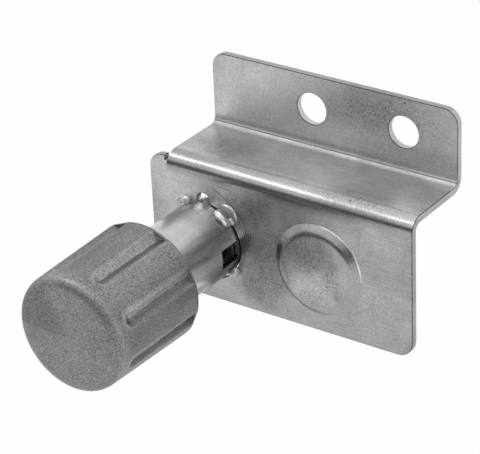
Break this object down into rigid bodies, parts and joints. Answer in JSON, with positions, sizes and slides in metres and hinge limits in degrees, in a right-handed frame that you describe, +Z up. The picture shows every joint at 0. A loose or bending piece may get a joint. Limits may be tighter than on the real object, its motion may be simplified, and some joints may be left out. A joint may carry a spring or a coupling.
{
  "type": "push-button bolt lock",
  "caption": "Push-button lock: a fluted metal knob on a sprung round bolt, sliding and turning in a tube welded to a Z-bent steel bracket.",
  "frame": {"origin": "midway between the two mounting holes, on the rear face of the upper flange", "axes": "+X runs right along the bracket, +Y points away from the knob and through the mounting face, along the push, +Z up"},
  "size_m": [0.0811, 0.0836, 0.0606],
  "materials": {
    "zinc_plated_sheet": "bright zinc plate, dulled and finely scratched",
    "zinc_plated_tube": "smooth zinc plate with drawing lines",
    "weld_metal": "rippled and bright, plated over",
    "bronze": "sintered and oiled",
    "spring_steel": "oiled dark spring steel",
    "washer_steel": "zinc-plated",
    "turned_steel": "turned and polished",
    "blackened_steel": "turned and blackened, oiled",
    "buffer_plastic": "natural nylon",
    "cast_metal": "cast, blasted to a fine sparkling grain",
    "liner_plastic": "black acetal"
  },
  "bodies": {
    "housing": {"bracket": "zinc_plated_sheet", "housing_tube": "zinc_plated_tube", "tack_welds": "weld_metal", "guide_bush": "bronze", "retaining_ring": "spring_steel", "rear_spring_seat": "washer_steel", "return_spring": "spring_steel"},
    "slider": {"front_spring_seat": "washer_steel"},
    "button": {"knob": "cast_metal", "skirt_liner": "liner_plastic", "spindle": "turned_steel", "locking_bolt": "blackened_steel", "bolt_pin": "spring_steel", "stop_washer": "buffer_plastic"}
  },
  "joints": [
    {"name": "button_push", "type": "slide", "parent": "housing", "child": "slider", "axis": [0, 1, 0], "range_m": [0, 0.018], "stiffness_N_per_m": 1020, "springref_m": -0.009, "deforming": ["return_spring"]},
    {"name": "button_turn", "type": "hinge", "parent": "slider", "child": "button", "pos_m": [-0.0341, -0.0245, -0.0338], "axis": [0, -1, 0], "continuous": true}
  ]
}
